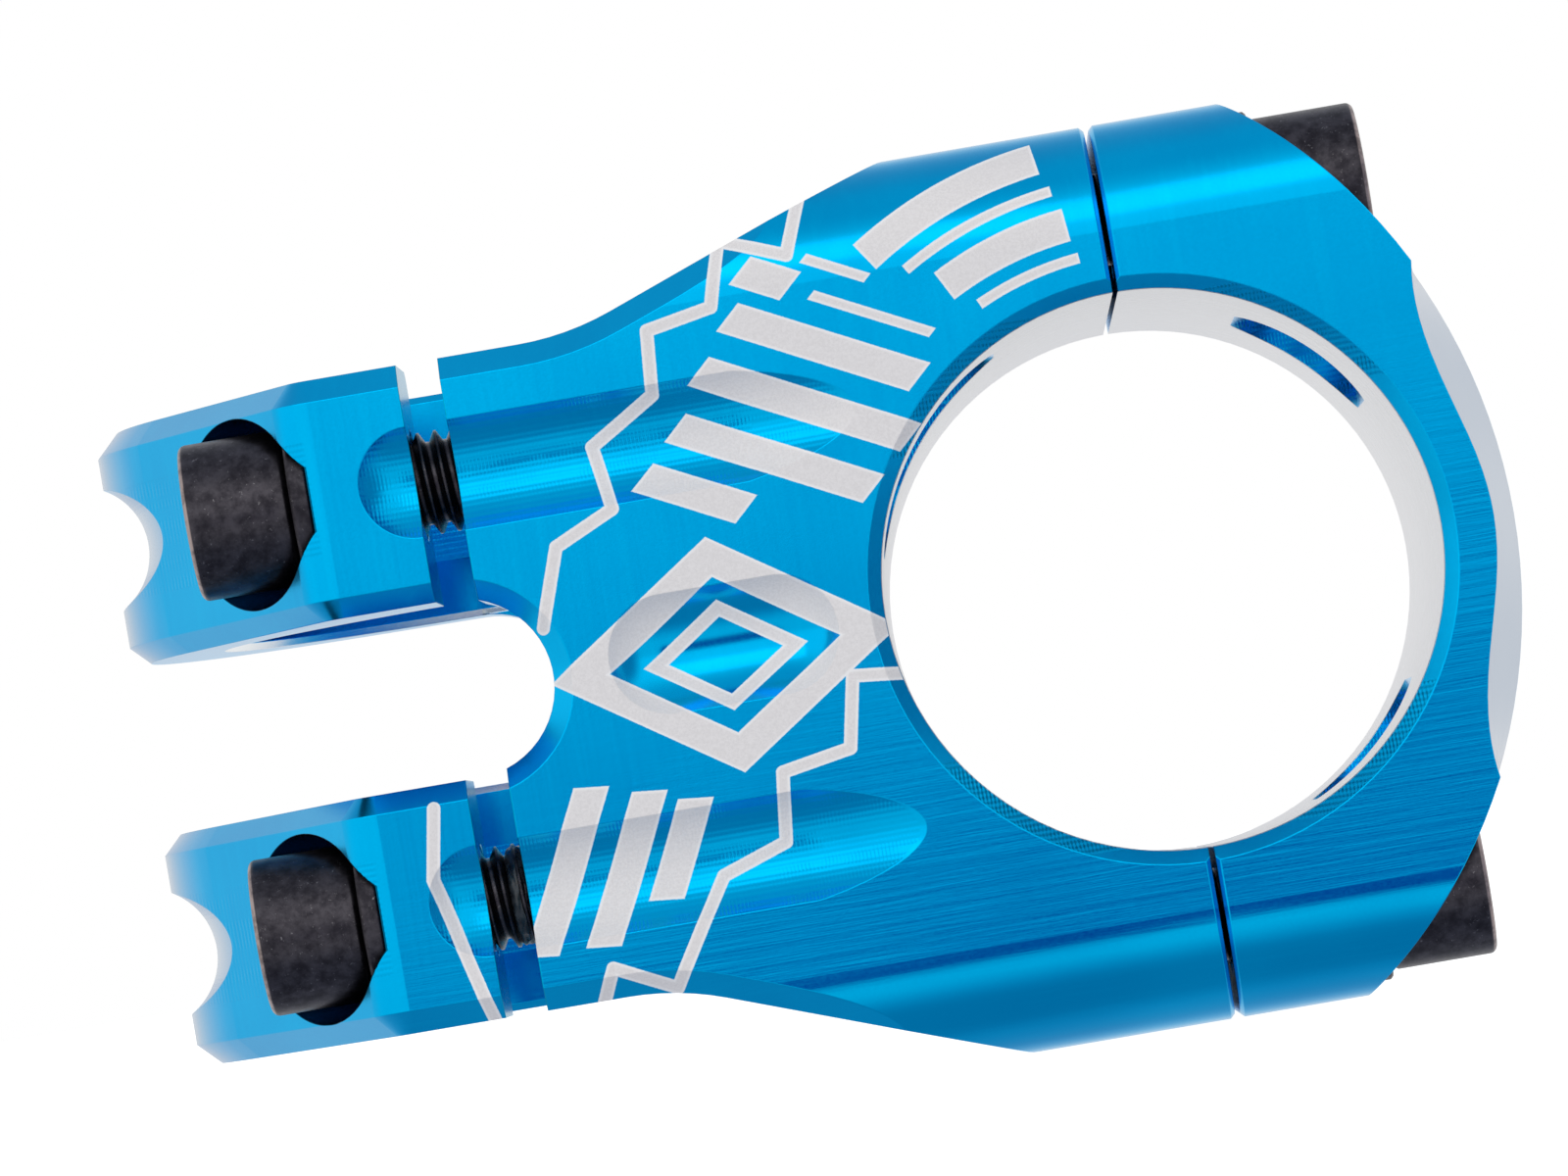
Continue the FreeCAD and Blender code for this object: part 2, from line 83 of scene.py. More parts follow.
class Graph:
    """Builds a shader's node tree. Every method returns a socket."""

    def __init__(self, tree):
        self.tree = tree

    def add(self, kind, **settings):
        node = self.tree.nodes.new(kind)
        for name, value in settings.items():
            setattr(node, name, value)
        return node

    def feed(self, socket, value):
        if isinstance(value, bpy.types.NodeSocket):
            self.tree.links.new(value, socket)
        else:
            socket.default_value = value

    def math(self, operation, *values, clamp=False):
        node = self.add("ShaderNodeMath", operation=operation, use_clamp=clamp)
        for socket, value in zip(node.inputs, values):
            self.feed(socket, value)
        return node.outputs[0]

    def vector(self, operation, *values):
        node = self.add("ShaderNodeVectorMath", operation=operation)
        for socket, value in zip(node.inputs, values):
            self.feed(socket, value)
        return node.outputs["Value" if operation in ("DOT_PRODUCT", "LENGTH", "DISTANCE") else "Vector"]

    def scale(self, vector, factor):
        node = self.add("ShaderNodeVectorMath", operation="SCALE")
        self.feed(node.inputs[0], vector)
        self.feed(node.inputs["Scale"], factor)
        return node.outputs["Vector"]

    def split(self, vector):
        node = self.add("ShaderNodeSeparateXYZ")
        self.feed(node.inputs[0], vector)
        return node.outputs[0], node.outputs[1], node.outputs[2]

    def join(self, x, y, z):
        node = self.add("ShaderNodeCombineXYZ")
        for socket, value in zip(node.inputs, (x, y, z)):
            self.feed(socket, value)
        return node.outputs[0]

    def product(self, *masks):
        result = masks[0]
        for mask in masks[1:]:
            result = self.math("MULTIPLY", result, mask)
        return result

    def near(self, value, middle, reach):
        """1 where the value is closer to the middle than reach."""
        return self.math("LESS_THAN", self.math("ABSOLUTE", self.math("SUBTRACT", value, middle)), reach)

    def ramp(self, value, low, high, to_low=0.0, to_high=1.0):
        node = self.add("ShaderNodeMapRange", interpolation_type="SMOOTHSTEP")
        for socket, given in zip(node.inputs, (value, low, high, to_low, to_high)):
            self.feed(socket, given)
        return node.outputs[0]

    def mix(self, factor, a, b):
        """A colour mix."""
        node = self.add("ShaderNodeMix", data_type="RGBA")
        self.feed(node.inputs[0], factor)
        self.feed(node.inputs[6], a)
        self.feed(node.inputs[7], b)
        return node.outputs[2]

    def blend(self, factor, a, b):
        """A number mix."""
        node = self.add("ShaderNodeMix", data_type="FLOAT")
        self.feed(node.inputs[0], factor)
        self.feed(node.inputs[2], a)
        self.feed(node.inputs[3], b)
        return node.outputs[0]

    def noise(self, vector, detail=2.0, roughness=0.5):
        node = self.add("ShaderNodeTexNoise")
        self.feed(node.inputs["Vector"], vector)
        node.inputs["Scale"].default_value = 1.0
        node.inputs["Detail"].default_value = detail
        node.inputs["Roughness"].default_value = roughness
        return node.outputs[0]

    def wave(self, value, spacing):
        """A sine wave with the given spacing."""
        return self.math("SINE", self.math("MULTIPLY", value, 2 * math.pi / spacing))

    def place(self):
        """The point's place on the object, in millimetres."""
        return self.scale(self.add("ShaderNodeTexCoord").outputs["Object"], 1 / MM)

    def bump(self, height, distance, strength=1.0, normal=None):
        node = self.add("ShaderNodeBump")
        self.feed(node.inputs["Height"], height)
        node.inputs["Strength"].default_value = strength
        node.inputs["Distance"].default_value = distance
        if normal is not None:
            self.feed(node.inputs["Normal"], normal)
        return node.outputs[0]


def colour(red, green, blue):
    return (red, green, blue, 1.0)


def new_material(name):
    material = bpy.data.materials.new(name)
    material.use_nodes = True
    tree = material.node_tree
    tree.nodes.clear()
    graph = Graph(tree)
    shader = graph.add("ShaderNodeBsdfPrincipled")
    output = graph.add("ShaderNodeOutputMaterial")
    tree.links.new(shader.outputs[0], output.inputs[0])
    return material, graph, shader


# ------------------------------------------------------------ etched graphics

# Abstract stripes, arcs and zigzags in the right flank's plane: (forward, up) in millimetres
LINE_HALF = 0.38
ZIGZAGS = (
    ((-2.9, -6.4), (-3.6, -10.4), (-1.2, -20.0)),
    ((4.9, 2.6), (6.4, 7.0), (9.9, 8.6), (9.3, 12.3), (13.2, 14.6), (13.5, 18.2), (17.3, 18.9),
     (18.3, 22.6), (22.0, 21.1), (23.6, 25.4)),
    ((4.2, -20.0), (5.6, -17.0), (9.0, -18.7), (12.6, -12.9), (16.4, -11.6), (16.9, -7.7), (20.9, -7.0),
     (21.7, -3.0), (25.4, -3.4)),
)
# (centre forward, centre up, direction in degrees, half length, half width, end slant in degrees)
STRIPES = (
    (3.9, -11.2, 64, 5.0, 0.95, 20),
    (7.3, -11.6, 64, 4.6, 0.95, 20),
    (10.5, -11.0, 64, 3.0, 0.95, 20),
    (14.6, 8.7, -27, 3.1, 0.95, -20),
    (19.4, 9.9, -27, 5.9, 0.95, -20),
    (21.6, 12.6, -27, 6.3, 0.95, -20),
    (23.2, 15.6, -27, 5.7, 0.95, -20),
    (20.6, 20.0, -27, 1.5, 0.95, -20),
    (26.2, 17.0, -27, 3.6, 0.30, -20),
    (24.6, 19.9, -27, 1.9, 0.30, -20),
)
# (centre, half diagonals, half width) of the diamond outlines round the middle hollow
DIAMONDS = (
    ((14.8, -0.6), (8.3, 5.6), 0.95),
    ((14.8, -0.6), (4.0, 2.7), 0.40),
)
# (radius from the bar's axis, half width, first angle, last angle)
ARCS = (
    (20.2, 0.95, 96.0, 118.0),
    (22.3, 0.30, 96.8, 121.0),
    (24.4, 0.95, 97.6, 124.0),
    (18.2, 0.30, 95.4, 115.0),
)


def line_distance(graph, point, start, end):
    along = Vector((end[0] - start[0], end[1] - start[1], 0))
    offset = graph.vector("SUBTRACT", point, (start[0], start[1], 0))
    share = graph.vector("DOT_PRODUCT", offset, along / along.length_squared)
    share = graph.math("ADD", share, 0.0, clamp=True)
    return graph.vector("DISTANCE", offset, graph.scale(along, share))


def stripe_distance(graph, point, stripe):
    u, v, degrees, half_length, half_width, slant = stripe
    angle = math.radians(degrees)
    across = Vector((-math.sin(angle), math.cos(angle), 0))
    end = math.radians(degrees + slant)
    ahead = Vector((math.cos(end), math.sin(end), 0))
    offset = graph.vector("SUBTRACT", point, (u, v, 0))
    side = graph.math("ABSOLUTE", graph.vector("DOT_PRODUCT", offset, across))
    length = graph.math("ABSOLUTE", graph.vector("DOT_PRODUCT", offset, ahead))
    side = graph.math("SUBTRACT", side, half_width)
    length = graph.math("SUBTRACT", length, half_length * math.cos(math.radians(slant)))
    return graph.math("MAXIMUM", side, length)


def diamond_distance(graph, point, diamond):
    (u, v), (half_u, half_v), half_width = diamond
    offset = graph.vector("ABSOLUTE", graph.vector("SUBTRACT", point, (u, v, 0)))
    normal = Vector((1 / half_u, 1 / half_v, 0))
    reach = graph.vector("DOT_PRODUCT", offset, normal / normal.length)
    edge = graph.math("SUBTRACT", reach, 1 / normal.length)
    return graph.math("SUBTRACT", graph.math("ABSOLUTE", edge), half_width)


def arc_distance(graph, point, arc):
    radius, half_width, first, last = arc
    offset = graph.vector("SUBTRACT", point, (REACH, 0, 0))
    ring = graph.math("SUBTRACT", graph.vector("LENGTH", offset), radius)
    ring = graph.math("SUBTRACT", graph.math("ABSOLUTE", ring), half_width)
    a = math.radians(first)
    b = math.radians(last)
    before = graph.vector("DOT_PRODUCT", offset, (math.sin(a), -math.cos(a), 0))
    after = graph.vector("DOT_PRODUCT", offset, (-math.sin(b), math.cos(b), 0))
    return graph.math("MAXIMUM", ring, graph.math("MAXIMUM", before, after))


def pattern_distance(graph, x, z):
    """Distance from the nearest edge of the etched pattern, negative inside it."""
    point = graph.join(x, z, 0.0)
    nearest = None
    for zigzag in ZIGZAGS:
        for start, end in zip(zigzag, zigzag[1:]):
            piece = line_distance(graph, point, start, end)
            nearest = piece if nearest is None else graph.math("MINIMUM", nearest, piece)
    nearest = graph.math("SUBTRACT", nearest, LINE_HALF)
    kinds = ((STRIPES, stripe_distance), (DIAMONDS, diamond_distance), (ARCS, arc_distance))
    for shapes, distance in kinds:
        for shape in shapes:
            nearest = graph.math("MINIMUM", nearest, distance(graph, point, shape))
    return nearest


# ------------------------------------------------------------------ materials

BLUE_DEEP = colour(0.0, 0.425, 0.815)
BLUE_LIGHT = colour(0.0, 0.470, 0.870)
BLUE_MARKS = colour(0.0, 0.55, 0.94)
BLUE_GRAIN = colour(0.0, 0.34, 0.70)
# Painted shade: the slit's walls are painted a darker, duller blue for the shade inside the narrow slit
SLIT_PAINTED_SHADE = colour(0.0, 0.39, 0.62)
# Painted shade: the screw pockets are painted near black for the shadow inside them
POCKET_PAINTED_SHADE = colour(0.0, 0.13, 0.25)
# Painted sheen: pale tints laid on the round back and the front bevels as they turn from the eye, darker
# blue on the back's chamfers; a painted reflection of the studio light, not the anodising's colour
PAINTED_SHEEN_BACK = colour(0.40, 0.49, 0.60)
PAINTED_SHEEN_CHAMFER = colour(0.12, 0.28, 0.50)
PAINTED_SHEEN_FRONT = colour(0.48, 0.535, 0.62)
# Painted highlight: a near-white line on the steerer bore's edge where it catches the light
PAINTED_HIGHLIGHT_EDGE = colour(0.92, 0.95, 0.96)
SILVER_DARK = colour(0.76, 0.76, 0.775)
SILVER_LIGHT = colour(0.88, 0.88, 0.89)
ETCH_DARK = colour(0.78, 0.755, 0.745)
ETCH_LIGHT = colour(0.86, 0.835, 0.825)
ETCH_RIM = colour(0.94, 0.93, 0.92)

# Heights of the alloy's relief, in millimetres
GRAIN_RELIEF = 0.0005
FLANK_RELIEF = 0.0052
CHANNEL_RELIEF = 0.0060
BORE_RELIEF = 0.004


def alloy_places(graph, place):
    """Where a point of the alloy is: lengths in millimetres, and masks from 0 to 1."""
    x, y, z = graph.split(place)
    true_normal = graph.add("ShaderNodeNewGeometry").outputs["True Normal"]
    normal_x, normal_y, normal_z = graph.split(true_normal)
    outward = graph.math("ABSOLUTE", normal_y)
    level = graph.math("ABSOLUTE", z)
    depth = graph.math("SUBTRACT", HALF_WIDTH, graph.math("ABSOLUTE", y))
    from_bar = graph.vector("LENGTH", graph.join(graph.math("SUBTRACT", x, REACH), z, 0.0))
    from_steerer = graph.vector("LENGTH", graph.join(x, y, 0.0))
    from_channel = graph.math("SUBTRACT", level, CHANNEL_Z)
    from_screw = graph.vector("LENGTH", graph.join(0.0, graph.math("ADD", y, SCREW_Y), from_channel))

    at = SimpleNamespace(x=x, y=y, z=z, normal_x=normal_x, normal_y=normal_y, radius=from_bar)
    at.flat = graph.ramp(outward, 0.97, 0.999)
    at.bare = graph.math("LESS_THAN", from_bar, BAR_R + 0.035)
    at.channel = graph.product(
        graph.ramp(depth, 0.04, 0.12),
        graph.math("LESS_THAN", graph.math("ABSOLUTE", from_channel), CHANNEL_HALF),
        graph.ramp(outward, 0.3, 0.5))
    at.pocket = graph.product(
        graph.math("LESS_THAN", from_screw, POCKET_R), graph.math("LESS_THAN", x, POCKET_FLOOR_X))
    at.slit = graph.product(graph.near(x, SLIT_X, SLIT_HALF), graph.math("LESS_THAN", y, SLIT_INNER_Y))
    at.steerer_edge = graph.product(
        graph.near(from_steerer, STEERER_EDGE_R, 0.215), graph.near(level, STEERER_EDGE_Z, 0.27))
    behind = graph.math("SUBTRACT", graph.math("LESS_THAN", x, ROUND_BACK_X), at.pocket, clamp=True)
    at.back = graph.product(behind, graph.math("GREATER_THAN", from_steerer, STEERER_WALL_R))
    at.front_bevel = graph.product(
        graph.math("GREATER_THAN", x, FRONT_BEVEL_X),
        graph.math("LESS_THAN", depth, HALF_WIDTH - FRONT_BEVEL_Y))
    at.chamfer = graph.ramp(graph.math("ABSOLUTE", normal_z), 0.35, 0.60)
    return at


def cutter_marks(graph, place, at):
    """Cutter marks: lines along the flank, cross ticks in the channels, rings in the bore."""
    def stretched(x_scale, z_scale):
        across = graph.math("MULTIPLY", at.x, x_scale)
        return graph.join(across, at.y, graph.math("MULTIPLY", at.z, z_scale))

    along = graph.noise(stretched(0.10, 3.4), 3.0, 0.62)
    upright = graph.noise(stretched(1.7, 0.05))
    lower = graph.ramp(graph.math("SUBTRACT", graph.math("MULTIPLY", at.x, 0.35), at.z), 4.0, 20.0)
    wander = graph.noise(graph.scale(place, 0.6), 1.0)
    tick_phase = graph.math("ADD", graph.math("MULTIPLY", at.x, 2 * math.pi / 0.215),
                            graph.math("MULTIPLY", wander, 3.0))
    band_place = graph.join(graph.math("MULTIPLY", at.x, 0.3), 0.0, graph.math("MULTIPLY", at.z, 1.4))
    ticks = graph.product(graph.math("SINE", tick_phase), graph.ramp(graph.noise(band_place), 0.35, 0.65))
    ring_place = graph.join(graph.math("MULTIPLY", at.radius, 0.2), graph.math("MULTIPLY", at.y, 6.0), 0.0)
    return SimpleNamespace(
        flank=graph.blend(lower, upright, along),
        channel=graph.math("ADD", ticks, graph.math("MULTIPLY", graph.wave(at.z, 0.33), 0.5)),
        rings=graph.noise(ring_place, 3.0, 0.6))


def painted_sheen_amount(graph, at, normal):
    """How far a painted sheen pales the round back and the front bevels as they turn away from the eye: a
    painted reflection of the studio light.

    Known fault: this tint is paint, not gloss, and it follows the camera. A mask made from the surface's
    own normal and place should stand here instead.
    """
    facing = graph.add("ShaderNodeLayerWeight")
    facing.inputs["Blend"].default_value = 0.5
    graph.feed(facing.inputs["Normal"], normal)
    turned = facing.outputs["Facing"]
    frontward = graph.ramp(at.normal_x, -0.1, 0.1)
    amount = graph.blend(frontward, graph.ramp(turned, 0.50, 1.0), graph.ramp(turned, 0.42, 0.56))
    sideways = graph.ramp(graph.math("ABSOLUTE", at.normal_x), 0.45, 0.75, 0.0, 0.95)
    return graph.product(amount, sideways, graph.math("MAXIMUM", at.back, at.front_bevel))


def anodised_alloy(name, etched):
    """Satin blue anodising with machining marks, a bare bar bore and, on the body, the etched pattern;
    with painted shade in the slit and the screw pockets, a painted highlight on the steerer bore's edge
    and a painted sheen on the round back and front bevels.
    """
    material, graph, shader = new_material(name)
    place = graph.place()
    edge = graph.add("ShaderNodeBevel", samples=8)
    edge.inputs["Radius"].default_value = 0.10 * MM
    rounded = edge.outputs[0]
    at = alloy_places(graph, place)
    marks = cutter_marks(graph, place, at)
    grain = graph.noise(graph.scale(place, 9.0), 3.0, 0.7)
    cloud = graph.noise(graph.scale(place, 0.09))

    blue = graph.mix(graph.ramp(cloud, 0.3, 0.7), BLUE_DEEP, BLUE_LIGHT)
    brushed = graph.math("MULTIPLY", graph.ramp(marks.flank, 0.25, 0.75, -0.5, 0.5), 0.28)
    blue = graph.mix(brushed, blue, BLUE_MARKS)
    blue = graph.mix(graph.ramp(grain, 0.35, 0.75, 0.0, 0.14), blue, BLUE_GRAIN)
    # Painted shade inside the slit
    blue = graph.mix(at.slit, blue, SLIT_PAINTED_SHADE)
    # Painted shade inside the screw pockets
    blue = graph.mix(at.pocket, blue, POCKET_PAINTED_SHADE)
    # Painted sheen on the round back and the front bevels
    back_sheen = graph.mix(at.chamfer, PAINTED_SHEEN_BACK, PAINTED_SHEEN_CHAMFER)
    painted_sheen = graph.mix(graph.ramp(at.normal_x, -0.1, 0.1), back_sheen, PAINTED_SHEEN_FRONT)
    blue = graph.mix(painted_sheen_amount(graph, at, rounded), blue, painted_sheen)
    # Painted highlight along the steerer bore's edge
    blue = graph.mix(at.steerer_edge, blue, PAINTED_HIGHLIGHT_EDGE)
    silver = graph.mix(graph.ramp(marks.rings, 0.3, 0.7), SILVER_DARK, SILVER_LIGHT)
    paint = graph.mix(at.bare, blue, silver)
    metal = 1.0
    rough = graph.ramp(grain, 0.2, 0.8, 0.155, 0.205)
    rough = graph.blend(at.channel, rough, 0.26)
    rough = graph.blend(at.bare, rough, graph.ramp(marks.rings, 0.2, 0.8, 0.24, 0.36))

    if etched:
        distance = pattern_distance(graph, at.x, at.z)
        ragged = graph.math("ADD", distance, graph.ramp(grain, 0.0, 1.0, -0.02, 0.02))
        etch = graph.product(
            graph.ramp(ragged, -0.03, 0.03, 1.0, 0.0),
            graph.math("LESS_THAN", at.y, ETCHED_FLANK_Y),
            graph.math("LESS_THAN", at.normal_y, -0.3),
            graph.math("GREATER_THAN", at.radius, BAR_R + 0.05))
        speckle = graph.noise(graph.scale(place, 7.0), 2.0, 0.75)
        pale = graph.mix(graph.ramp(speckle, 0.3, 0.7), ETCH_DARK, ETCH_LIGHT)
        pale = graph.mix(graph.ramp(ragged, -0.22, -0.06), pale, ETCH_RIM)
        paint = graph.mix(etch, paint, pale)
        metal = graph.math("SUBTRACT", 1.0, etch)
        rough = graph.blend(etch, rough, 0.62)

    relief = graph.math("MULTIPLY", graph.ramp(grain, 0.2, 0.8), GRAIN_RELIEF)
    reliefs = (
        (marks.flank, at.flat, FLANK_RELIEF),
        (marks.channel, at.channel, CHANNEL_RELIEF),
        (marks.rings, at.bare, BORE_RELIEF))
    for height, mask, size in reliefs:
        relief = graph.math("ADD", relief, graph.product(height, mask, size))

    graph.feed(shader.inputs["Base Color"], paint)
    graph.feed(shader.inputs["Metallic"], metal)
    graph.feed(shader.inputs["Roughness"], rough)
    graph.feed(shader.inputs["Normal"], graph.bump(relief, MM, normal=rounded))
    return material


OXIDE_DARK = colour(0.028, 0.026, 0.032)
OXIDE_LIGHT = colour(0.074, 0.069, 0.080)
DUST = colour(0.30, 0.29, 0.30)
RUBBED_STEEL = colour(0.46, 0.37, 0.35)
RESIN_DARK = colour(0.006, 0.008, 0.012)
RESIN_LIGHT = colour(0.035, 0.045, 0.055)


def black_oxide(name, gloss, worn):
    """Black oxide steel with pale specks of dust, faintly brown where its wear attribute is 1."""
    material, graph, shader = new_material(name)
    place = graph.place()
    mottle = graph.noise(graph.scale(place, 1.1), 4.0, 0.65)
    grain = graph.noise(graph.scale(place, 8.0), 3.0, 0.7)
    specks = graph.ramp(graph.noise(graph.scale(place, 3.6), 4.0, 0.75), 0.62, 0.70)
    base = graph.mix(graph.ramp(mottle, 0.3, 0.7), OXIDE_DARK, OXIDE_LIGHT)
    base = graph.mix(graph.math("MULTIPLY", specks, 0.6), base, DUST)
    edge = graph.add("ShaderNodeBevel", samples=4)
    edge.inputs["Radius"].default_value = 0.16 * MM
    rim = graph.add("ShaderNodeAttribute", attribute_name="wear").outputs["Fac"]
    rub = graph.math("MULTIPLY", rim, graph.ramp(mottle, 0.35, 0.6, 0.45, 1.0))
    base = graph.mix(graph.math("MULTIPLY", rub, worn), base, RUBBED_STEEL)
    graph.feed(shader.inputs["Base Color"], base)
    shader.inputs["Metallic"].default_value = 1.0
    graph.feed(shader.inputs["Roughness"], graph.ramp(grain, 0.2, 0.8, gloss - 0.06, gloss + 0.08))
    relief = graph.math("ADD", graph.math("MULTIPLY", grain, 0.004), graph.math("MULTIPLY", mottle, 0.006))
    graph.feed(shader.inputs["Normal"], graph.bump(relief, MM, normal=edge.outputs[0]))
    return material


def thread_lock(name):
    """The dried dark resin on a thread."""
    material, graph, shader = new_material(name)
    place = graph.place()
    lumps = graph.noise(graph.scale(place, 1.6), 4.0, 0.7)
    base = graph.mix(graph.ramp(lumps, 0.35, 0.7), RESIN_DARK, RESIN_LIGHT)
    graph.feed(shader.inputs["Base Color"], base)
    graph.feed(shader.inputs["Roughness"], graph.ramp(lumps, 0.3, 0.7, 0.16, 0.5))
    graph.feed(shader.inputs["Normal"], graph.bump(lumps, 0.08 * MM, strength=0.7))
    return material


# --------------------------------------------------------------------- screws

# An M6 socket screw, in millimetres
SEGMENTS = 96
HEAD_R = 4.5
HEAD_LENGTH = 6.1
HEAD_RIM = 0.42
SHANK_LENGTH = 20.0
PITCH = 1.0
MAJOR_R = 2.95
MINOR_R = 2.36
SOCKET_HALF = 2.5
SOCKET_DEPTH = 3.2
SOCKET_MOUTH_R = 3.02
SOCKET_FLARE = 1.35
SOCKET_LEVELS = (0.06, 0.14, 0.24, 0.36, 0.5, 1.6, SOCKET_DEPTH)
THREAD_STEPS = 56
# One pitch of the thread: (share of the pitch, radius)
THREAD_PROFILE = ((0.0, MINOR_R), (0.09, MINOR_R), (0.42, MAJOR_R), (0.55, MAJOR_R), (0.88, MINOR_R))
WELD = 0.0008


def hexagon_radius(angle, half_flats):
    sector = math.radians(60)
    return half_flats / math.cos((angle % sector) - sector / 2)


def head_rings():
    """The head's outside as rings of (height, radius), from its underside, over the rim, to the socket."""
    rings = [(0.0, MAJOR_R), (0.0, HEAD_R - 0.42), (0.10, HEAD_R - 0.36), (0.28, HEAD_R - 0.06)]
    rings += [(level, HEAD_R) for level in (0.40, 1.5, 3.0, 4.5)]
    steps = 8
    for step in range(steps + 1):
        angle = math.radians(90 * step / steps)
        height = HEAD_LENGTH - HEAD_RIM + HEAD_RIM * math.sin(angle)
        rings.append((height, HEAD_R - HEAD_RIM + HEAD_RIM * math.cos(angle)))
    rings.append((HEAD_LENGTH, 3.3))
    rings.append((HEAD_LENGTH, SOCKET_MOUTH_R))
    return rings


def screw_mesh(name):
    """A screw's head with its hexagon socket, about the Z axis, above 0."""
    mesh = bmesh.new()
    wear = mesh.verts.layers.float.new("wear")
    angles = [2 * math.pi * i / SEGMENTS for i in range(SEGMENTS)]

    def ring(height, radius_at):
        points = []
        for angle in angles:
            radius = radius_at(angle)
            points.append(mesh.verts.new((radius * math.cos(angle), radius * math.sin(angle), height)))
        return points

    def skin(a, b):
        for i in range(SEGMENTS):
            j = (i + 1) % SEGMENTS
            mesh.faces.new((a[i], a[j], b[j], b[i]))

    previous = None
    for height, radius in head_rings():
        current = ring(height, lambda angle, r=radius: r)
        rubbed = HEAD_LENGTH - height < 0.20 and radius > HEAD_R - 0.28
        for vert in current:
            vert[wear] = 1.0 if rubbed else 0.0
        if previous is not None:
            skin(previous, current)
        else:
            under = current
        previous = current
    for depth in SOCKET_LEVELS:
        flare = SOCKET_MOUTH_R - depth * SOCKET_FLARE
        height = HEAD_LENGTH - depth
        current = ring(height, lambda angle, r=flare: max(r, hexagon_radius(angle, SOCKET_HALF)))
        skin(previous, current)
        previous = current
    for height, radius in ((SOCKET_DEPTH + 0.02, 2.35), (SOCKET_DEPTH + 0.75, 0.5)):
        current = ring(HEAD_LENGTH - height, lambda angle, r=radius: r)
        skin(previous, current)
        previous = current
    mesh.faces.new(previous)
    mesh.faces.new(list(reversed(under)))
    mesh.normal_update()
    data = bpy.data.meshes.new(name)
    mesh.to_mesh(data)
    mesh.free()
    return data


def thread_mesh(name):
    """The threaded shank about the Z axis, from just under the head at 0 down to the tip."""
    mesh = bmesh.new()
    turns = int(SHANK_LENGTH / PITCH) + 2
    columns = []
    for i in range(THREAD_STEPS + 1):
        angle = 2 * math.pi * i / THREAD_STEPS
        column = []
        for turn in range(turns):
            for offset, radius in THREAD_PROFILE:
                height = -SHANK_LENGTH - PITCH + PITCH * (turn + offset + i / THREAD_STEPS)
                height = min(max(height, -SHANK_LENGTH), 0.0)
                tip = MINOR_R - 0.1 + (height + SHANK_LENGTH) * 0.9
                neck = MINOR_R + max(0.0, -height - 0.9) * 1.6
                limit = min(radius, tip, max(MINOR_R, neck))
                column.append((limit * math.cos(angle), limit * math.sin(angle), height))
        columns.append(column)
    verts = [[mesh.verts.new(point) for point in column] for column in columns]
    for a, b in zip(verts, verts[1:]):
        for j in range(len(a) - 1):
            mesh.faces.new((a[j], b[j], b[j + 1], a[j + 1]))
    bmesh.ops.remove_doubles(mesh, verts=mesh.verts, dist=WELD)
    bmesh.ops.dissolve_degenerate(mesh, edges=mesh.edges, dist=WELD)
    open_edges = [edge for edge in mesh.edges if edge.is_boundary]
    bottom = [edge for edge in open_edges if sum(v.co.z for v in edge.verts) / 2 < -SHANK_LENGTH + 0.01]
    bmesh.ops.holes_fill(mesh, edges=bottom)
    bmesh.ops.recalc_face_normals(mesh, faces=mesh.faces)
    data = bpy.data.meshes.new(name)
    mesh.to_mesh(data)
    mesh.free()
    return data


def place_piece(name, data, matrix, material, sharp_degrees):
    """A piece of the object from mesh data in millimetres about its own axis."""
    data = data.copy()
    data.name = name
    data.transform(Matrix.Scale(MM, 4) @ matrix)
    data.shade_smooth()
    data.set_sharp_from_angle(angle=math.radians(sharp_degrees))
    data.materials.clear()
    data.materials.append(material)
    piece = bpy.data.objects.new(name, data)
    bpy.context.scene.collection.objects.link(piece)
    return piece


def seat_matrix(x, y, z, outward, turn):
    """From the screw's own axis, +Z out of the head, to its place; outward is 1 or -1 along X."""
    axis = Vector((outward, 0, 0))
    tilt = Vector((0, 0, 1)).rotation_difference(axis).to_matrix().to_4x4()
    return Matrix.Translation((x, y, z)) @ tilt @ Matrix.Rotation(math.radians(turn), 4, "Z")


def resin_mesh(name, low, high):
    """A rough sleeve of dried thread lock about the Z axis, between two heights."""
    mesh = bmesh.new()
    rows = []
    count = 72
    levels = 14
    for level in range(levels + 1):
        height = low + (high - low) * level / levels
        row = []
        for i in range(count):
            angle = 2 * math.pi * i / count
            spot = Vector((math.cos(angle) * 1.7, math.sin(angle) * 1.7, height * 2.1))
            swell = noise.noise(spot) + 0.5 * noise.noise(spot * 2.3)
            fade = math.sin(math.pi * level / levels) ** 0.5
            radius = 2.48 + fade * (0.34 + 0.26 * swell)
            row.append(mesh.verts.new((radius * math.cos(angle), radius * math.sin(angle), height)))
        rows.append(row)
    for a, b in zip(rows, rows[1:]):
        for i in range(count):
            j = (i + 1) % count
            mesh.faces.new((a[i], a[j], b[j], b[i]))
    mesh.faces.new(list(reversed(rows[0])))
    mesh.faces.new(rows[-1])
    mesh.normal_update()
    data = bpy.data.meshes.new(name)
    mesh.to_mesh(data)
    mesh.free()
    return data


def centre(node):
    low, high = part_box(node)
    return (low + high) / 2 / MM


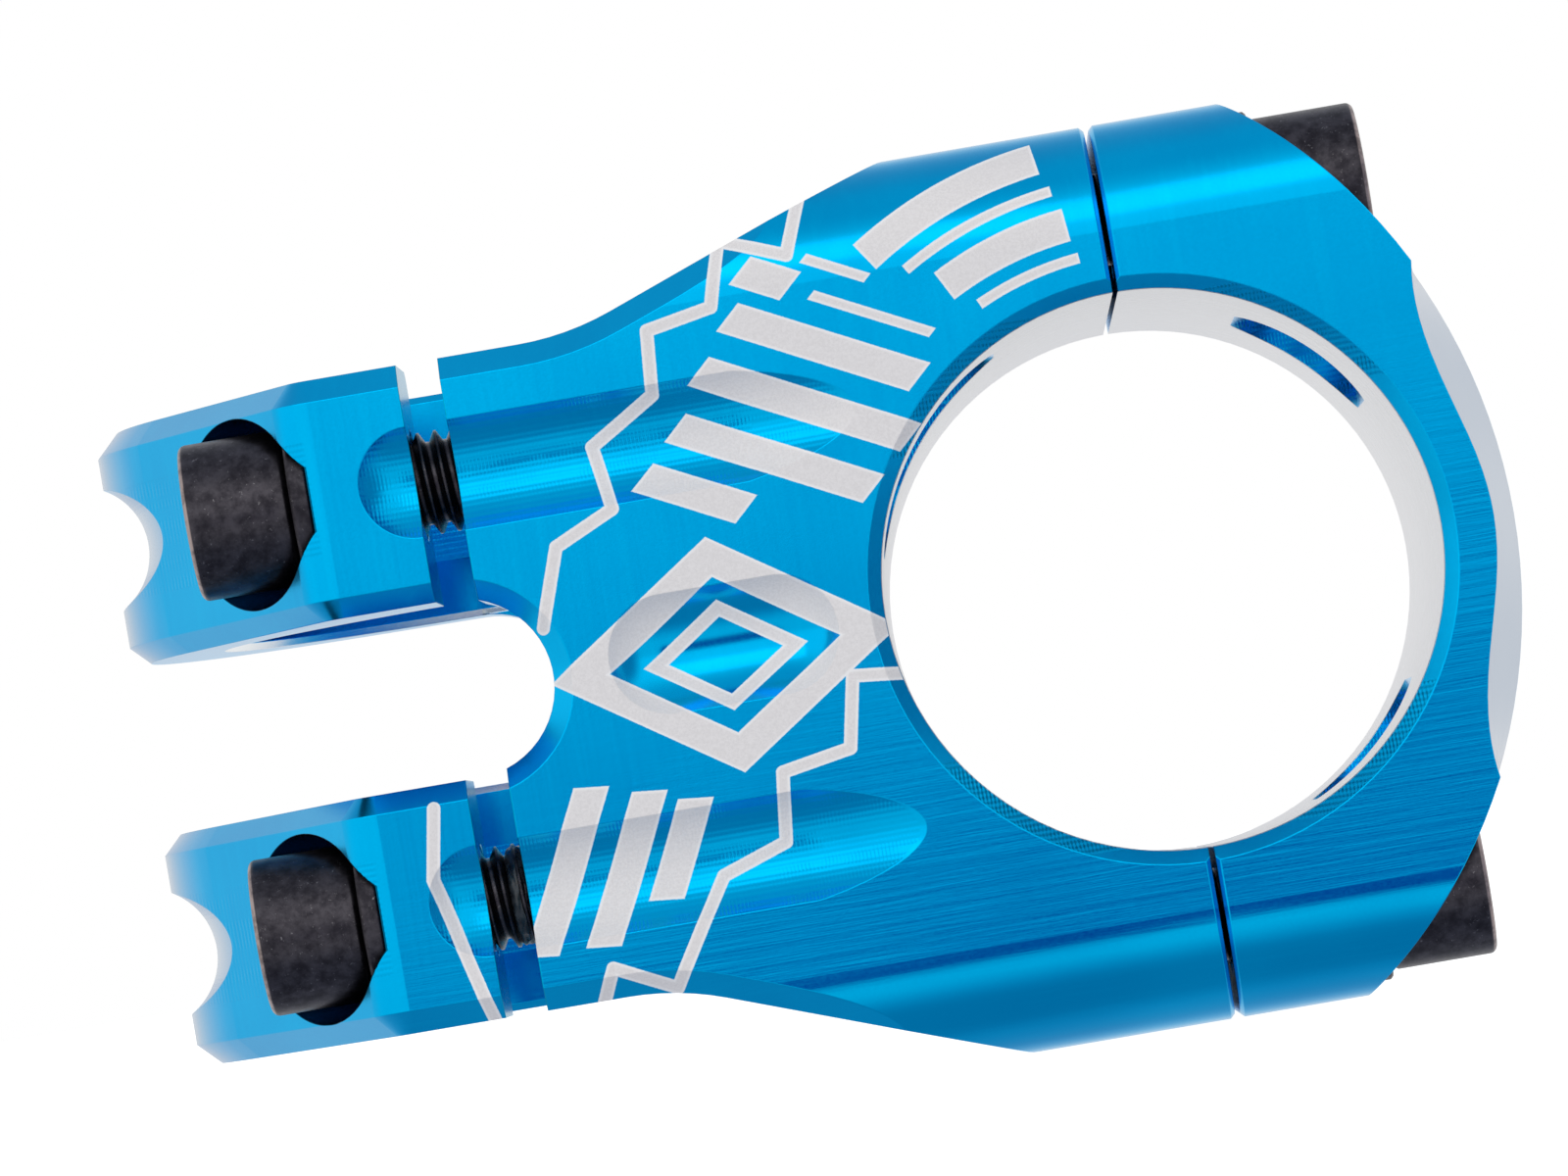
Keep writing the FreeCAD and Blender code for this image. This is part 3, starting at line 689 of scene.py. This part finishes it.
def build_screws(head_material, thread_material, resin_material):
    head = screw_mesh("head")
    shank = thread_mesh("shank")
    turns = {"faceplate_bolt_upper_right": 12, "faceplate_bolt_upper_left": 41,
             "faceplate_bolt_lower_right": 27, "faceplate_bolt_lower_left": 55,
             "steerer_bolt_upper": 0, "steerer_bolt_lower": 150}
    for node, turn in turns.items():
        low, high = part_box(node)
        middle = centre(node)
        outward = 1 if node.startswith("faceplate") else -1
        seat = high.x / MM - HEAD_LENGTH if outward > 0 else low.x / MM + HEAD_LENGTH
        matrix = seat_matrix(seat, middle.y, middle.z, outward, turn)
        top = place_piece(f"{node}_head", head, matrix, head_material, 35)
        thread = place_piece(f"{node}_thread", shank, matrix, thread_material, 25)
        for piece in (top, thread):
            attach(piece, node)
        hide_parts(node)
        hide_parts(node)
        if node == "steerer_bolt_lower":
            sleeve = resin_mesh("resin", -9.65, -8.45)
            resin = place_piece("steerer_bolt_lower_resin", sleeve, matrix, resin_material, 60)
            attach(resin, node)


# ---------------------------------------------------------------------- scene

def dress_cad_nodes():
    body = anodised_alloy("anodised_body", True)
    plate = anodised_alloy("anodised_plate", False)
    ring = black_oxide("washer_steel", 0.42, 0.35)
    for name, node in nodes.items():
        if name == "stem_body":
            material = body
        elif name == "faceplate":
            material = plate
        elif "washer" in name:
            material = ring
        else:
            continue
        for slot in node.material_slots:
            slot.material = material


WHITE = colour(1, 1, 1)
FLOOR_HALF = 4.0

# The studio's tent. Directions are shares of a unit vector.
GAP_X = 0.05
GAP_Z = -0.10
GAP_HALF_WIDTH = 0.18
GAP_HALF_HEIGHT = 0.130
GAP_COLOUR = colour(0.0, 0.0, 0.24)
DIM_SIDE = Vector((1.0, -0.15, 0.0))
DIM_SIDE_EDGE = math.cos(math.radians(38))
DIM_SIDE_CORE = math.cos(math.radians(16))
DIM_SIDE_LEVEL = 0.40
DIM_TINT = colour(0.74, 0.86, 1.14)

# The camera: its place in millimetres in the part's frame, and which way it looks and stands
CAMERA_PLACE = Vector((27.6, -598.0, -13.8))
CAMERA_FORWARD = Vector((-0.015484, 0.999474, 0.028489))
CAMERA_UPWARD = Vector((0.1685, 0, 0.9857))


def build_floor():
    """A white floor just under the object."""
    mesh = bpy.data.meshes.new("floor")
    level = cad_low.z - 0.1 * MM
    corners = [(x * FLOOR_HALF, y * FLOOR_HALF, level) for x, y in ((-1, -1), (1, -1), (1, 1), (-1, 1))]
    mesh.from_pydata(corners, [], [(0, 1, 2, 3)])
    floor = bpy.data.objects.new("floor", mesh)
    bpy.context.scene.collection.objects.link(floor)
    material, _, shader = new_material("floor_white")
    shader.inputs["Base Color"].default_value = colour(0.25, 0.25, 0.25)
    shader.inputs["Roughness"].default_value = 0.9
    shader.inputs["Emission Color"].default_value = WHITE
    shader.inputs["Emission Strength"].default_value = 1.0
    mesh.materials.append(material)
    floor.visible_glossy = False
    floor.visible_diffuse = False


def build_world():
    """A white tent, dimmer overhead, below and to one side, with a dark gap where the camera stands."""
    world = bpy.data.worlds.new("studio")
    bpy.context.scene.world = world
    world.use_nodes = True
    tree = world.node_tree
    tree.nodes.clear()
    graph = Graph(tree)
    direction = graph.vector("NORMALIZE", graph.add("ShaderNodeTexCoord").outputs["Generated"])
    x, y, z = graph.split(direction)
    low = graph.ramp(z, -0.35, -0.80, 0.84, 0.40)
    high = graph.ramp(z, 0.45, 0.95, 1.06, 0.62)
    ahead = graph.blend(graph.ramp(z, -0.05, 0.05), low, high)
    behind = graph.ramp(graph.math("ABSOLUTE", z), 0.3, 0.9, 0.87, 0.55)
    level = graph.blend(graph.ramp(y, -0.2, 0.3), ahead, behind)
    toward_dim_side = graph.vector("DOT_PRODUCT", direction, DIM_SIDE.normalized())
    dim_side = graph.ramp(toward_dim_side, DIM_SIDE_EDGE, DIM_SIDE_CORE)
    level = graph.blend(dim_side, level, DIM_SIDE_LEVEL)
    across = graph.math("DIVIDE", graph.math("SUBTRACT", x, GAP_X), GAP_HALF_WIDTH)
    upward = graph.math("DIVIDE", graph.math("SUBTRACT", z, GAP_Z), GAP_HALF_HEIGHT)
    gap = graph.ramp(graph.vector("LENGTH", graph.join(across, upward, 0.0)), 1.15, 0.75)
    gap = graph.product(gap, graph.math("LESS_THAN", y, 0.0))
    tint = graph.mix(graph.ramp(level, 0.25, 0.95), DIM_TINT, WHITE)
    glow = graph.mix(gap, graph.scale(tint, level), GAP_COLOUR)
    camera_ray = graph.add("ShaderNodeLightPath").outputs["Is Camera Ray"]
    glow = graph.mix(camera_ray, glow, WHITE)
    background = graph.add("ShaderNodeBackground")
    graph.feed(background.inputs["Color"], glow)
    output = graph.add("ShaderNodeOutputWorld")
    tree.links.new(background.outputs[0], output.inputs[0])


def area_light(name, position, target, size, power):
    data = bpy.data.lights.new(name, "AREA")
    data.shape = "RECTANGLE"
    data.size, data.size_y = size
    data.energy = power
    light = bpy.data.objects.new(name, data)
    light.location = position
    light.rotation_mode = "QUATERNION"
    light.rotation_quaternion = (Vector(target) - Vector(position)).to_track_quat("-Z", "Y")
    light.visible_camera = False
    bpy.context.scene.collection.objects.link(light)


def build_camera():
    data = bpy.data.cameras.new("camera")
    data.sensor_width = 36.0
    data.lens = 233.2
    data.clip_start = 0.01
    data.clip_end = 20.0
    camera = bpy.data.objects.new("camera", data)
    forward = CAMERA_FORWARD.normalized()
    right = forward.cross(CAMERA_UPWARD).normalized()
    up = right.cross(forward)
    turn = Matrix((right, up, -forward)).transposed().to_4x4()
    camera.matrix_world = Matrix.Translation(CAMERA_PLACE * MM) @ turn
    bpy.context.scene.collection.objects.link(camera)
    bpy.context.scene.camera = camera


dress_cad_nodes()
build_screws(
    black_oxide("head_steel", 0.36, 0.9),
    black_oxide("thread_steel", 0.28, 0.2),
    thread_lock("dried_resin"))
build_floor()
build_world()
area_light("key", position=(-0.12, -0.55, 0.34), target=(0.02, 0, 0), size=(0.60, 0.26), power=0.25)
build_camera()
view = bpy.context.scene.view_settings
view.view_transform = "Standard"
view.look = "None"
